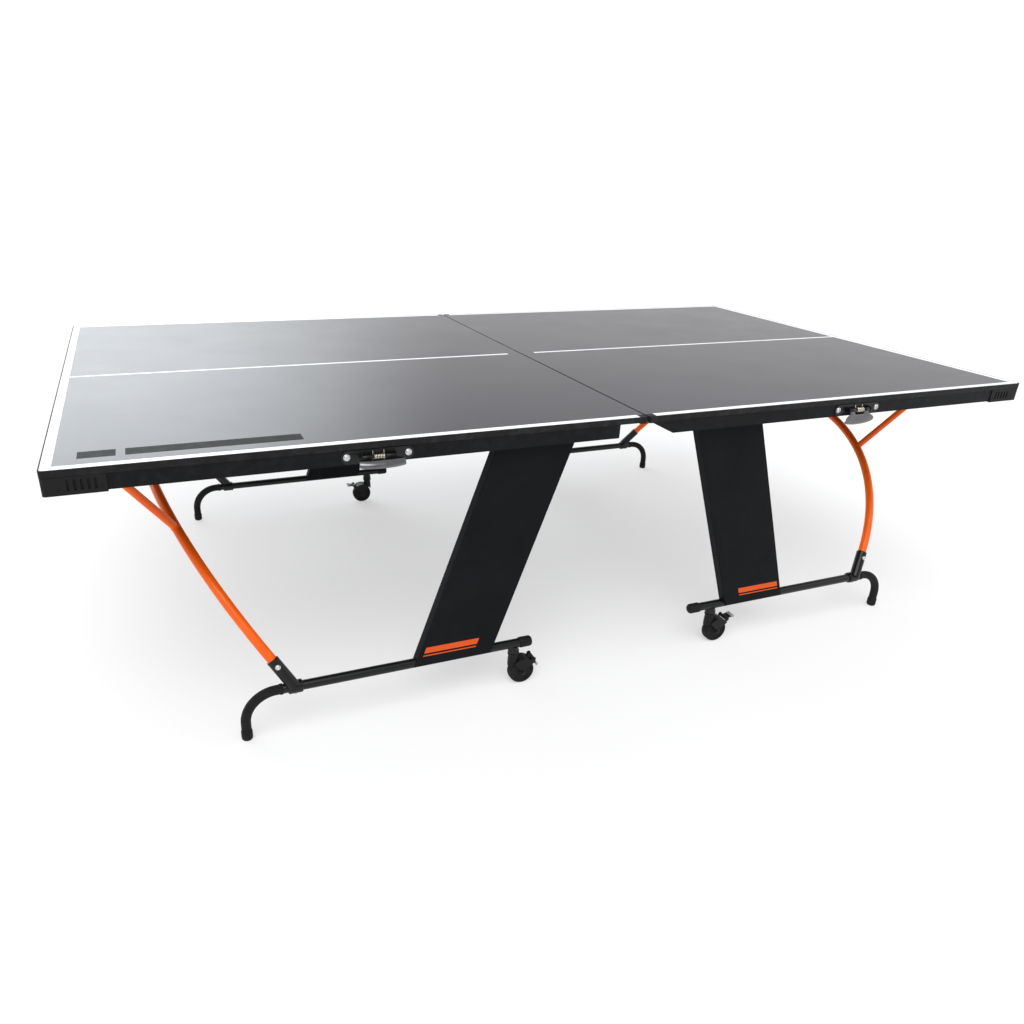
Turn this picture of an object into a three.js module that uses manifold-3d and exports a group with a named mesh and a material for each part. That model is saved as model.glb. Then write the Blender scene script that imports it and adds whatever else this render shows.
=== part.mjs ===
// Two-piece folding ping pong table, in millimetres.
// +X runs along the length, +Y across the width, +Z up; the origin is on the
// floor under the centre of the table.  Everything is drawn for the half at +X
// and turned half a circle about Z for the other half, which is how the two
// identical halves of the table are pushed together.
import * as THREE from 'three';
import Module from 'manifold-3d';
import { mergeVertices } from 'three/addons/utils/BufferGeometryUtils.js';

// ---- driving dimensions ----------------------------------------------------
const TABLE_LENGTH = 2740;        // regulation playing surface
const TABLE_WIDTH = 1525;
const TABLE_HEIGHT = 760;
const SEAM_HALF_GAP = 3;          // each board stops this far from the middle
const BOARD = 15;                 // board thickness
const BOARD_CORNER = 8;           // plan radius of the outer corners
const EDGE_BREAK = 0.8;           // small chamfer along the board's edges
const CLEAR = 0.3;                // gap between parts that touch or slide

const RAIL_DEPTH = 35;            // height of the apron channel below the board
const RAIL_WIDTH = 20;            // its flanges
const RAIL_WALL = 2;
const RAIL_INSET = 2.5;           // apron face behind the board's edge
const SEAM_RAIL_X = 80;           // outer face of the cross rail by the seam

const GUARD_LEG = 118;            // corner guard along each side
const GUARD_WALL = 2.2;
const GUARD_DROP = 3;             // how far it reaches below the apron
const GUARD_SLOTS = 5;
const GUARD_SLOT = { width: 5, pitch: 12.5, height: 22, first: 20 };
const SEAM_CAP = 20;              // square cap over each inner board corner
const SEAM_CAP_DEPTH = 18;

const PIVOT = { x: 185, z: 728 }; // fold axis of each half
const PIVOT_ROD_R = 8;
const BRACKET_WALL = 4;           // pivot plate welded into the apron channel

const PANEL_Y = [697, 728];       // the flat leg panel's two faces
const PANEL_WIDTH = 215.5;        // measured along X
const PANEL_SLOPE = 0.3526;       // X travelled per unit of height
const PANEL_Z = [122, 738];
const PANEL_TOP_X = 183;          // inner edge at z = 710
const PANEL_WALL = 1.6;

const FOOT_Y = 712.5;             // axis of the foot tube
const FOOT_Z = 127;
const TUBE_R = 12.5;
const TUBE_WALL = 1.6;
const FOOT_TUBE_X = [268, 943];
const FOOT_BEND_R = 80;
const FOOT_TIP_X = 1038;
const CAP_LENGTH = 36;

const ARCH_FOOT = { x: 960, y: 689, z: 201 };  // where the arch leaves its socket
const ARCH_LEAN = 0.665;          // outward travel per unit of height
const ARCH_RISE = 417;            // height of the crest in the arch's own plane
const ARCH_START = 0.379;         // angle of the arch from vertical at its foot
const ARCH_HANDLES = [301, 311];  // Bezier handle lengths, foot and crest
const ARCH_PLUG = 58;             // length of tube inside the socket
const SOCKET_R = 15.5;
const SOCKET_LENGTH = 88;
const STRUT_R = 10;
const STRUT_FROM = { x: 1133.5, y: 419.4, z: 461.9 };
const STRUT_TO = { x: 1311, y: 542.5, z: 738 };
const PAD_R = 14.5;

const STEM_X = { a: 348, b: 315 };  // swivel axes on the two sides of one half
const STEM_R = 5;
const STEM_BOSS_Z = 102;          // underside of the boss on the foot tube
const WHEEL_R = 37;
const WHEEL_HALF = 14;
const WHEEL_TRAIL = 25;           // axle behind the swivel axis
const AXLE_R = 4;
const HOOD_R = 42.5;
const HOOD_INNER_R = 40;
const FORK_HALF = 18.5;           // outside of the fork's cheeks
const FORK_GAP_HALF = 15.5;
const PEDAL_R = 48.5;             // pedal hinge, measured from the axle
const PEDAL_ANGLE = 50;
const PEDAL_LENGTH = 28;
const PEDAL_UP = 8;               // lever angle when released
const PEDAL_DOWN = -60;           // lever angle when the wheel is locked

const LATCH_X = 703;              // middle of each latch
const LATCH_PLATE = [165, 31];
const LATCH_PIN = { y: 771, z: 728, r: 3 };
const LATCH_EARS = 37;            // inner faces of the ears from the middle
const HANDLE = { wide: 104, neck: 66, reach: 40, lip: 15, wall: 2.4, hub: 5 };
const HANDLE_HANG = -74;          // turned down from level

// ---- solid modelling helpers -------------------------------------------------
const wasm = await Module();
wasm.setup();

function signedVolume(position, index) {
  const a = new THREE.Vector3();
  const b = new THREE.Vector3();
  const c = new THREE.Vector3();
  let sum = 0;
  for (let i = 0; i < index.count; i += 3) {
    a.fromBufferAttribute(position, index.getX(i));
    b.fromBufferAttribute(position, index.getX(i + 1));
    c.fromBufferAttribute(position, index.getX(i + 2));
    sum += a.dot(b.cross(c));
  }
  return sum / 6;
}

function solid(geometry) {
  const g = geometry.clone();
  g.deleteAttribute('normal');
  g.deleteAttribute('uv');
  const merged = mergeVertices(g, 1e-4);
  const index = merged.index;
  const tris = Uint32Array.from(index.array);
  if (signedVolume(merged.attributes.position, index) < 0) {
    for (let i = 0; i < tris.length; i += 3) {
      [tris[i + 1], tris[i + 2]] = [tris[i + 2], tris[i + 1]];
    }
  }
  const verts = Float32Array.from(merged.attributes.position.array);
  return new wasm.Manifold(
    new wasm.Mesh({ numProp: 3, vertProperties: verts, triVerts: tris }));
}

function union(parts) {
  return parts.reduce((whole, part) => whole.add(part));
}

function box(x, y, z) {
  const g = new THREE.BoxGeometry(x[1] - x[0], y[1] - y[0], z[1] - z[0]);
  g.translate((x[0] + x[1]) / 2, (y[0] + y[1]) / 2, (z[0] + z[1]) / 2);
  return solid(g);
}

function rod(from, to, radius, sides = 20, endRadius = radius) {
  const a = new THREE.Vector3(...from);
  const b = new THREE.Vector3(...to);
  const along = b.clone().sub(a);
  const g = new THREE.CylinderGeometry(endRadius, radius, along.length(), sides);
  const up = new THREE.Vector3(0, 1, 0);
  g.applyQuaternion(new THREE.Quaternion().setFromUnitVectors(up, along.clone().normalize()));
  const middle = a.add(b).multiplyScalar(0.5);
  g.translate(middle.x, middle.y, middle.z);
  return solid(g);
}

function sweep(curve, radius, sides, steps) {
  const ring = new THREE.Shape();
  ring.absarc(0, 0, radius, 0, Math.PI * 2, false);
  const g = new THREE.ExtrudeGeometry(ring, {
    steps, extrudePath: curve, bevelEnabled: false, curveSegments: sides,
  });
  return solid(g);
}

// Revolve an outline of [radius, height] points about an upright axis.
function turned(outline, sides, at) {
  const points = outline.map(([r, h]) => new THREE.Vector2(r, h));
  const g = new THREE.LatheGeometry(points, sides);
  g.rotateX(Math.PI / 2);
  g.translate(...at);
  return solid(g);
}

// Extrude a drawn outline.  `axes` says where its own x, y and depth go, such as 'xzy'.
function prism(shape, axes, from, to, options = {}) {
  const g = new THREE.ExtrudeGeometry(shape, {
    depth: to - from, bevelEnabled: false, curveSegments: 6, ...options,
  });
  g.translate(0, 0, from);
  const unit = { x: [1, 0, 0], y: [0, 1, 0], z: [0, 0, 1] };
  const [u, v, w] = [...axes].map((name) => new THREE.Vector3(...unit[name]));
  g.applyMatrix4(new THREE.Matrix4().makeBasis(u, v, w));
  return solid(g);
}

function outline(points) {
  return new THREE.Shape(points.map(([x, y]) => new THREE.Vector2(x, y)));
}

function polar(cx, cz, r, degrees) {
  const t = THREE.MathUtils.degToRad(degrees);
  return [cx + r * Math.cos(t), cz + r * Math.sin(t)];
}

function arcPoints(cx, cz, r, from, to, count) {
  const points = [];
  for (let i = 0; i <= count; i += 1) {
    points.push(polar(cx, cz, r, from + (to - from) * i / count));
  }
  return points;
}

function mirrorY(part) {
  return part.mirror([0, 1, 0]);
}

function geometryOf(manifold) {
  const mesh = manifold.getMesh();
  const g = new THREE.BufferGeometry();
  g.setAttribute('position', new THREE.BufferAttribute(Float32Array.from(mesh.vertProperties), 3));
  g.setIndex(new THREE.BufferAttribute(Uint32Array.from(mesh.triVerts), 1));
  g.computeVertexNormals();
  return g;
}

// ---- the top ------------------------------------------------------------------
const HALF_LENGTH = TABLE_LENGTH / 2;
const HALF_WIDTH = TABLE_WIDTH / 2;
const BOARD_BASE = TABLE_HEIGHT - BOARD;
const RAIL_TOP = BOARD_BASE - CLEAR;
const RAIL_BASE = BOARD_BASE - RAIL_DEPTH;
const RAIL_X = HALF_LENGTH - RAIL_INSET;
const RAIL_Y = HALF_WIDTH - RAIL_INSET;

function tabletop() {
  const notch = SEAM_CAP + CLEAR;
  const x0 = SEAM_HALF_GAP;
  const r = BOARD_CORNER;
  const shape = new THREE.Shape();
  shape.moveTo(x0, -HALF_WIDTH + notch);
  shape.lineTo(x0 + notch, -HALF_WIDTH + notch);
  shape.lineTo(x0 + notch, -HALF_WIDTH);
  shape.lineTo(HALF_LENGTH - r, -HALF_WIDTH);
  shape.absarc(HALF_LENGTH - r, -HALF_WIDTH + r, r, -Math.PI / 2, 0, false);
  shape.lineTo(HALF_LENGTH, HALF_WIDTH - r);
  shape.absarc(HALF_LENGTH - r, HALF_WIDTH - r, r, 0, Math.PI / 2, false);
  shape.lineTo(x0 + notch, HALF_WIDTH);
  shape.lineTo(x0 + notch, HALF_WIDTH - notch);
  shape.lineTo(x0, HALF_WIDTH - notch);
  const g = new THREE.ExtrudeGeometry(shape, {
    depth: BOARD - 2 * EDGE_BREAK, curveSegments: 5,
    bevelEnabled: true, bevelSize: EDGE_BREAK, bevelThickness: EDGE_BREAK,
    bevelOffset: -EDGE_BREAK, bevelSegments: 1,
  });
  g.translate(0, 0, BOARD_BASE + EDGE_BREAK);
  return solid(g);
}

// A channel ring open towards the middle, with the two plates that carry the fold pivot.
function apronFrame() {
  const outer = box([SEAM_RAIL_X, RAIL_X], [-RAIL_Y, RAIL_Y], [RAIL_BASE, RAIL_TOP]);
  const innerX = [SEAM_RAIL_X + RAIL_WIDTH, RAIL_X - RAIL_WIDTH];
  const innerY = RAIL_Y - RAIL_WIDTH;
  const opening = box(innerX, [-innerY, innerY], [RAIL_BASE - 1, RAIL_TOP + 1]);
  const groove = box(
    [SEAM_RAIL_X + RAIL_WALL, RAIL_X - RAIL_WALL],
    [-RAIL_Y + RAIL_WALL, RAIL_Y - RAIL_WALL],
    [RAIL_BASE + RAIL_WALL, RAIL_TOP - RAIL_WALL]);
  const corner = rod([0, 0, RAIL_BASE - 1], [0, 0, RAIL_TOP + 1], BOARD_CORNER - 2, 24);
  const cornerBox = box([-10, 10], [-10, 10], [RAIL_BASE - 1, RAIL_TOP + 1]);
  const ring = outer.subtract(opening).subtract(groove);
  const plate = pivotPlate(innerY);
  const rounding = cornerBox.subtract(corner)
    .intersect(box([0, 11], [-11, 0], [RAIL_BASE - 2, RAIL_TOP + 2]))
    .translate([RAIL_X - BOARD_CORNER + 2, -RAIL_Y + BOARD_CORNER - 2, 0]);
  return ring.subtract(rounding).subtract(mirrorY(rounding))
    .add(plate).add(mirrorY(plate));
}

function pivotPlate(innerY) {
  const y = [-innerY - 1, -innerY - 1 + BRACKET_WALL];
  const lobe = rod([PIVOT.x, y[0], PIVOT.z], [PIVOT.x, y[1], PIVOT.z], 15, 28);
  const plate = box([PIVOT.x - 26, PIVOT.x + 26], y, [RAIL_BASE + 0.6, RAIL_TOP - 0.6]);
  const hole = rod([PIVOT.x, y[0] - 1, PIVOT.z], [PIVOT.x, y[1] + 1, PIVOT.z],
    PIVOT_ROD_R + 0.4, 24);
  return plate.add(lobe).subtract(hole);
}

// Moulded guard that wraps one outer corner of the apron, for the -Y side.
function cornerGuard() {
  const x1 = HALF_LENGTH;
  const y1 = -HALF_WIDTH;
  const z = [RAIL_BASE - GUARD_DROP, BOARD_BASE - CLEAR];
  const body = roundedCorner(x1, y1, GUARD_LEG, BOARD_CORNER, z);
  const wall = GUARD_WALL;
  const hollow = roundedCorner(x1 - wall, y1 + wall, GUARD_LEG + 5, BOARD_CORNER - wall,
    [RAIL_BASE - CLEAR, z[1] + 1]);
  const underside = box([x1 - GUARD_LEG - 5, x1 - RAIL_WIDTH - 3], [y1 + RAIL_WIDTH + 3, 0],
    [z[0] - 1, z[1] + 1]);
  let guard = body.subtract(hollow).subtract(underside);
  for (let i = 0; i < GUARD_SLOTS; i += 1) {
    const at = GUARD_LEG - GUARD_SLOT.first - i * GUARD_SLOT.pitch;
    const slotZ = [RAIL_BASE + 6, RAIL_BASE + 6 + GUARD_SLOT.height];
    const along = [x1 - at - GUARD_SLOT.width / 2, x1 - at + GUARD_SLOT.width / 2];
    const across = [y1 + at - GUARD_SLOT.width / 2, y1 + at + GUARD_SLOT.width / 2];
    guard = guard
      .subtract(box(along, [y1 - 1, y1 + wall + 0.2], slotZ))
      .subtract(box([x1 - wall - 0.2, x1 + 1], across, slotZ));
  }
  return guard;
}

// L-shaped block in the (+X, -Y) corner with a rounded outer edge.
function roundedCorner(x1, y1, leg, radius, z) {
  const block = box([x1 - leg, x1], [y1, y1 + leg], z);
  const edge = rod([x1 - radius, y1 + radius, z[0]], [x1 - radius, y1 + radius, z[1]],
    radius, 24);
  const square = box([x1 - radius, x1 + 1], [y1 - 1, y1 + radius], [z[0] - 1, z[1] + 1]);
  return block.subtract(square).add(edge.intersect(block));
}

function seamCap() {
  const x = [SEAM_HALF_GAP, SEAM_HALF_GAP + SEAM_CAP];
  const y = [-HALF_WIDTH, -HALF_WIDTH + SEAM_CAP];
  const shape = outline([
    [x[0], y[0] + 4], [x[0] + 1.2, y[0] + 1.2], [x[0] + 4, y[0]],
    [x[1], y[0]], [x[1], y[1]], [x[0], y[1]],
  ]);
  const g = new THREE.ExtrudeGeometry(shape, {
    depth: SEAM_CAP_DEPTH - 2, bevelEnabled: true, bevelSize: 1, bevelThickness: 1,
    bevelOffset: -1, bevelSegments: 1,
  });
  g.translate(0, 0, TABLE_HEIGHT - SEAM_CAP_DEPTH + 1);
  return solid(g);
}

// ---- the fold latch -------------------------------------------------------------
function latchBracket() {
  const face = -RAIL_Y - CLEAR;
  const [long, tall] = LATCH_PLATE;
  const zMid = (RAIL_BASE + BOARD_BASE) / 2;
  const plateShape = outline([
    [-long / 2, -tall / 2 + 9], [-long / 2 + 9, -tall / 2], [long / 2 - 9, -tall / 2],
    [long / 2, -tall / 2 + 9], [long / 2, tall / 2 - 9], [long / 2 - 9, tall / 2],
    [-long / 2 + 9, tall / 2], [-long / 2, tall / 2 - 9],
  ].map(([x, z]) => [x + LATCH_X, z + zMid]));
  const plate = prism(plateShape, 'xzy', face - 2.2, face);
  const tongue = box([LATCH_X - 4, LATCH_X + 42], [face - 2.2, face], [RAIL_BASE - 8, zMid]);
  const parts = [plate, tongue];
  for (const side of [-1, 1]) {
    const inner = LATCH_X + side * LATCH_EARS;
    const x = side < 0 ? [inner - 3, inner] : [inner, inner + 3];
    const nose = rod([x[0], -LATCH_PIN.y, LATCH_PIN.z], [x[1], -LATCH_PIN.y, LATCH_PIN.z], 6.5, 14);
    const web = box(x, [-LATCH_PIN.y, face - 1], [LATCH_PIN.z - 6.5, LATCH_PIN.z + 6.5]);
    parts.push(nose, web);
  }
  const pinEnd = LATCH_EARS + 5;
  parts.push(rod(
    [LATCH_X - pinEnd, -LATCH_PIN.y, LATCH_PIN.z],
    [LATCH_X + pinEnd, -LATCH_PIN.y, LATCH_PIN.z], LATCH_PIN.r, 12));
  return union(parts);
}

// Bent lever hinged on the latch pin, level at 0 degrees and hanging when negative.
function latchHandle(angle) {
  const { wide, neck, reach, lip, wall, hub } = HANDLE;
  const bend = 12;
  const top = wall / 2;
  const profile = outline([
    [0, -top],
    ...arcPoints(reach - bend, -bend - top, bend, 90, 0, 5),
    [reach, -lip],
    [reach + wall, -lip],
    ...arcPoints(reach - bend, -bend - top, bend + wall, 0, 90, 6),
    [0, top],
  ]);
  const bent = prism(profile, 'yzx', -wide / 2, wide / 2);
  const plan = outline([
    [-neck / 2, -1], [-neck / 2, 9], [-wide / 2 + 3, 22], [-wide / 2, 30],
    [-wide / 2 + 2, reach + 4], [wide / 2 - 2, reach + 4], [wide / 2, 30],
    [wide / 2 - 3, 22], [neck / 2, 9], [neck / 2, -1],
  ]);
  const blade = bent.intersect(prism(plan, 'xyz', -lip - 1, top + 1));
  const hubEnd = LATCH_EARS - 0.5;
  const lever = blade
    .add(rod([-hubEnd, 0, 0], [hubEnd, 0, 0], hub, 14))
    .subtract(rod([-hubEnd - 1, 0, 0], [hubEnd + 1, 0, 0], LATCH_PIN.r + CLEAR, 12));
  return mirrorY(lever.rotate([angle, 0, 0])).translate([LATCH_X, -LATCH_PIN.y, LATCH_PIN.z]);
}

// ---- the undercarriage ------------------------------------------------------------
function panelX(z) {
  return PANEL_TOP_X + (710 - z) * PANEL_SLOPE;
}

function legPanel() {
  const [z0, z1] = PANEL_Z;
  const lean = (inset, low, high) => outline([
    [panelX(low) + inset, low], [panelX(low) + PANEL_WIDTH - inset, low],
    [panelX(high) + PANEL_WIDTH - inset, high], [panelX(high) + inset, high],
  ]);
  const [y0, y1] = [-PANEL_Y[1], -PANEL_Y[0]];
  const skin = prism(lean(0, z0, z1), 'xzy', y0 + 2, y1 - 2, {
    bevelEnabled: true, bevelSize: 2, bevelThickness: 2, bevelOffset: -2, bevelSegments: 1,
  });
  const throughY = (radius, sides) => rod(
    [PIVOT.x, y0 - 1, PIVOT.z], [PIVOT.x, y1 + 1, PIVOT.z], radius, sides);
  const lobe = throughY(16, 24).intersect(box([0, 400], [y0, y1], [700, 760]));
  const w = PANEL_WALL;
  const hollow = prism(lean(w * 1.06, z0 + w, z1 - w), 'xzy', y0 + w, y1 - w)
    .subtract(throughY(14, 16));
  return skin.add(lobe).subtract(hollow)
    .subtract(throughY(PIVOT_ROD_R + CLEAR, 18))
    .subtract(rod([300, -FOOT_Y, FOOT_Z], [700, -FOOT_Y, FOOT_Z], TUBE_R + CLEAR, 20));
}

function footTube(stemX) {
  const along = (x0, x1, r, sides) => rod([x0, -FOOT_Y, FOOT_Z], [x1, -FOOT_Y, FOOT_Z], r, sides);
  const [x0, x1] = FOOT_TUBE_X;
  const upright = (z0, z1, r) => rod([stemX, -FOOT_Y, z0], [stemX, -FOOT_Y, z1], r, 16);
  return along(x0, x1, TUBE_R, 20)
    .add(upright(STEM_BOSS_Z, FOOT_Z - 6, 14))
    .subtract(along(x0 - 1, x1 + 1, TUBE_R - TUBE_WALL, 12))
    .subtract(upright(STEM_BOSS_Z - 1, FOOT_Z, STEM_R + CLEAR));
}

function tubeCap() {
  const x0 = FOOT_TUBE_X[0] - 4;
  const bead = rod([x0, -FOOT_Y, FOOT_Z], [x0 + 3, -FOOT_Y, FOOT_Z], 13, 18, 14.8);
  const sleeve = rod([x0 + 3, -FOOT_Y, FOOT_Z], [x0 + CAP_LENGTH, -FOOT_Y, FOOT_Z], 14.8, 18, 14.4);
  return bead.add(sleeve)
    .subtract(rod([x0 + 4 - CLEAR, -FOOT_Y, FOOT_Z], [x0 + 60, -FOOT_Y, FOOT_Z],
      TUBE_R + CLEAR, 20));
}

// Moulded elbow that plugs into the tube and turns down to the floor.
function curvedFoot() {
  const joint = FOOT_TUBE_X[1];
  const at = (x, z) => new THREE.Vector3(x, -FOOT_Y, z);
  const bendX = FOOT_TIP_X - FOOT_BEND_R;
  const arc = arcPoints(bendX, FOOT_Z - FOOT_BEND_R, FOOT_BEND_R, 90, 0, 9)
    .map(([x, z]) => at(x, z));
  const curve = new THREE.CatmullRomCurve3(
    [at(joint + 1, FOOT_Z), ...arc, at(FOOT_TIP_X, 30), at(FOOT_TIP_X, 16)], false, 'centripetal');
  const elbow = sweep(curve, TUBE_R, 6, 12);
  const plug = rod([joint - 24, -FOOT_Y, FOOT_Z], [joint + 4, -FOOT_Y, FOOT_Z],
    TUBE_R - TUBE_WALL - CLEAR, 12);
  const collar = rod([joint + CLEAR, -FOOT_Y, FOOT_Z], [joint + 7, -FOOT_Y, FOOT_Z], 14, 18);
  const tip = turned([[0, 0], [10, 0], [14, 4], [14, 23], [0, 25]],
    16, [FOOT_TIP_X, -FOOT_Y, 0]);
  return union([elbow, plug, collar, tip]);
}

const LEAN_LENGTH = Math.hypot(ARCH_LEAN, 1);

// A point given in the arch's leaning plane: y across, s up the slope.
function onArch(y, s) {
  const rise = s / LEAN_LENGTH;
  return new THREE.Vector3(ARCH_FOOT.x + ARCH_LEAN * rise, y, ARCH_FOOT.z + rise);
}

function archAlongSocket(distance) {
  const y = -ARCH_FOOT.y + distance * Math.sin(ARCH_START);
  return onArch(y, distance * Math.cos(ARCH_START));
}

function archCurve(plug) {
  const [foot, crest] = ARCH_HANDLES;
  const half = (sign) => [
    onArch(-sign * ARCH_FOOT.y, 0),
    onArch(sign * (-ARCH_FOOT.y + foot * Math.sin(ARCH_START)), foot * Math.cos(ARCH_START)),
    onArch(-sign * crest, ARCH_RISE),
    onArch(0, ARCH_RISE),
  ];
  const start = archAlongSocket(-plug);
  const end = start.clone().setY(-start.y);
  const curve = new THREE.CurvePath();
  curve.add(new THREE.LineCurve3(start, onArch(-ARCH_FOOT.y, 0)));
  curve.add(new THREE.CubicBezierCurve3(...half(1)));
  curve.add(new THREE.CubicBezierCurve3(...half(-1).reverse()));
  curve.add(new THREE.LineCurve3(onArch(ARCH_FOOT.y, 0), end));
  return curve;
}

function strut(radius, sides) {
  const reach = 1.05;
  const from = [STRUT_FROM.x, -STRUT_FROM.y, STRUT_FROM.z];
  const to = [STRUT_TO.x, -STRUT_TO.y, STRUT_TO.z];
  const past = to.map((value, i) => from[i] + (value - from[i]) * reach);
  return rod(from, past, radius, sides);
}

function below(z) {
  return box([0, 1400], [-800, 800], [0, z]);
}

// The orange arch with its two welded struts, one hollow weldment.
function supportArch() {
  const trim = below(STRUT_TO.z + 2);
  const outside = strut(STRUT_R, 16).intersect(trim);
  const inside = strut(STRUT_R - TUBE_WALL, 8);
  return sweep(archCurve(ARCH_PLUG), TUBE_R, 7, 42)
    .add(outside).add(mirrorY(outside))
    .subtract(sweep(archCurve(ARCH_PLUG + 4), TUBE_R - TUBE_WALL, 4, 30))
    .subtract(inside).subtract(mirrorY(inside));
}

function strutPad() {
  const seat = strut(STRUT_R + CLEAR, 18).intersect(below(STRUT_TO.z + 2 + CLEAR));
  const low = STRUT_TO.z - 14;
  return strut(PAD_R, 22).intersect(below(BOARD_BASE - CLEAR))
    .subtract(below(low)).subtract(seat);
}

function archSocket() {
  const base = archAlongSocket(-SOCKET_LENGTH).toArray();
  const top = archAlongSocket(0).toArray();
  const sleeve = rod(base, top, SOCKET_R, 20);
  const bore = rod(archAlongSocket(-ARCH_PLUG - 2).toArray(),
    archAlongSocket(5).toArray(), TUBE_R + CLEAR + 0.2, 16);
  const alongTube = (x0, x1, r) => rod([x0, -FOOT_Y, FOOT_Z], [x1, -FOOT_Y, FOOT_Z], r, 20);
  return sleeve.add(alongTube(base[0] - 20, base[0] + 16, 16.5))
    .subtract(bore)
    .subtract(alongTube(base[0] - 90, base[0] + 27, TUBE_R + CLEAR));
}

// ---- casters: the swivel axis at x = 0, the wheel trailing towards +x -----------------
function acrossY(x, z, r, half, sides) {
  return rod([x, -half, z], [x, half, z], r, sides);
}

function pedalHinge() {
  return polar(WHEEL_TRAIL, WHEEL_R, PEDAL_R, PEDAL_ANGLE);
}

function casterFork() {
  const [hx, hz] = pedalHinge();
  const slice = outline([
    [WHEEL_TRAIL, WHEEL_R],
    ...arcPoints(WHEEL_TRAIL, WHEEL_R, HOOD_R, 38, 132, 6),
  ]);
  const hood = prism(slice, 'xzy', -FORK_HALF, FORK_HALF);
  const lugs = acrossY(hx, hz, 6.5, FORK_HALF, 14)
    .subtract(acrossY(hx, hz, 9, FORK_GAP_HALF, 14));
  const shell = union([
    hood,
    lugs,
    acrossY(WHEEL_TRAIL, WHEEL_R, 9, FORK_HALF, 14),
    rod([0, 0, 58], [0, 0, 96], 13.5, 16),
    rod([0, 0, 93], [0, 0, STEM_BOSS_Z - CLEAR], 16, 18),
  ]);
  return shell
    .subtract(acrossY(WHEEL_TRAIL, WHEEL_R, HOOD_INNER_R, FORK_GAP_HALF, 22))
    .subtract(acrossY(hx, hz, 6.4, FORK_GAP_HALF, 14))
    .add(acrossY(WHEEL_TRAIL, WHEEL_R, AXLE_R, FORK_HALF + 1.2, 10))
    .add(acrossY(hx, hz, 2, FORK_HALF + 0.8, 8))
    .add(rod([0, 0, 96], [0, 0, FOOT_Z - 4], STEM_R, 12));
}

function casterWheel() {
  const bore = AXLE_R + CLEAR;
  const side = [[bore, 15], [9, 15], [10, 11], [28, 11], [30, WHEEL_HALF], [WHEEL_R, 10]];
  const other = side.map(([r, h]) => [r, -h]).reverse();
  const g = new THREE.LatheGeometry(
    [...side, ...other, side[0]].map(([r, h]) => new THREE.Vector2(r, h)), 22);
  g.translate(WHEEL_TRAIL, 0, WHEEL_R);
  return solid(g);
}

function brakePedal(angle) {
  const [hx, hz] = pedalHinge();
  const bar = outline([
    [0, -1.6], [PEDAL_LENGTH - 7, -1.6], [PEDAL_LENGTH - 6, -3.2], [PEDAL_LENGTH + 1, -3.2],
    [PEDAL_LENGTH + 2, -2], [PEDAL_LENGTH + 2, 2], [PEDAL_LENGTH, 3], [PEDAL_LENGTH - 7, 1.6],
    [0, 1.6],
  ]);
  return prism(bar, 'xzy', -12, 12)
    .add(acrossY(0, 0, 5, FORK_GAP_HALF - 0.6, 16))
    .subtract(acrossY(0, 0, 2 + CLEAR, 20, 10))
    .rotate([0, -angle, 0])
    .translate([hx, 0, hz]);
}

// ---- assembly -------------------------------------------------------------------------
const FINISHES = {
  board: { color: 0x2b2c30, roughness: 0.42, metalness: 0.0 },
  apron: { color: 0x141516, roughness: 0.45, metalness: 0.35 },
  plastic: { color: 0x101112, roughness: 0.6, metalness: 0.0 },
  zinc: { color: 0xb9bcc0, roughness: 0.3, metalness: 0.9 },
  panel: { color: 0x1a1c1f, roughness: 0.55, metalness: 0.3 },
  tube: { color: 0x131416, roughness: 0.4, metalness: 0.4 },
  orange: { color: 0xff5a00, roughness: 0.3, metalness: 0.1 },
  rubber: { color: 0x18181a, roughness: 0.8, metalness: 0.0 },
  pedal: { color: 0x8c8f92, roughness: 0.5, metalness: 0.2 },
};

const table = new THREE.Group();
table.name = 'ping_pong_table';

function place(name, part, finish, turn) {
  const mesh = new THREE.Mesh(
    geometryOf(part.rotate([0, 0, turn])), new THREE.MeshStandardMaterial(FINISHES[finish]));
  mesh.name = name;
  table.add(mesh);
}

// The two legs of one half differ only in where the caster sits and which way it trails.
const SIDES = [
  { key: 'a', flip: false, trail: 0, pedal: PEDAL_UP },
  { key: 'b', flip: true, trail: 180, pedal: PEDAL_DOWN },
];
const HALVES = [
  { half: 'left', turn: 180, side: { a: 'far', b: 'near' }, handle: 0 },
  { half: 'right', turn: 0, side: { a: 'near', b: 'far' }, handle: HANDLE_HANG },
];

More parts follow.
